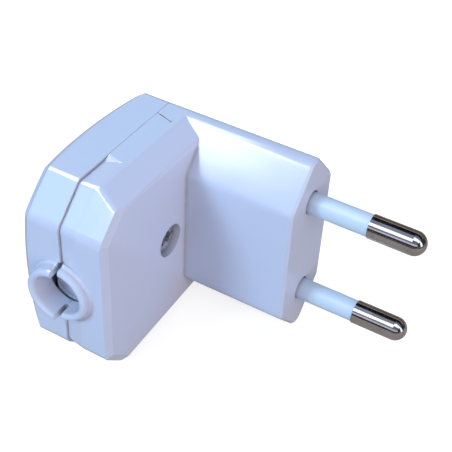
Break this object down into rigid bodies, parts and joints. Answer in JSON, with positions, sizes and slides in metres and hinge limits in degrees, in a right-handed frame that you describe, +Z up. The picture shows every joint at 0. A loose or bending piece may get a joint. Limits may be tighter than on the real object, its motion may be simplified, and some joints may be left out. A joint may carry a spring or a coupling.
{
  "type": "angled two-pin plug",
  "caption": "Angled two-pin plug: flat split casing held by a screw, with a side cable outlet and sleeved round pins on a hexagonal block.",
  "frame": {"origin": "centre of the pin face, midway between the two pins", "axes": "+X out of the pin face along the pins, the cable outlet faces -Y, +Z up from the lower pin to the upper pin"},
  "size_m": [0.0555, 0.0384, 0.035],
  "materials": {
    "white_casing": "glossy moulded white",
    "white_sleeve": "satin moulded white",
    "pin_metal": "polished nickel plate",
    "screw_steel": "zinc plate"
  },
  "bodies": {
    "root": {"front_casing": "white_casing", "rear_cover": "white_casing", "housing_screw": "screw_steel", "pin_upper": "pin_metal", "pin_lower": "pin_metal", "sleeve_upper": "white_sleeve", "sleeve_lower": "white_sleeve", "terminal_screw_upper": "screw_steel", "terminal_screw_lower": "screw_steel"}
  },
  "joints": []
}
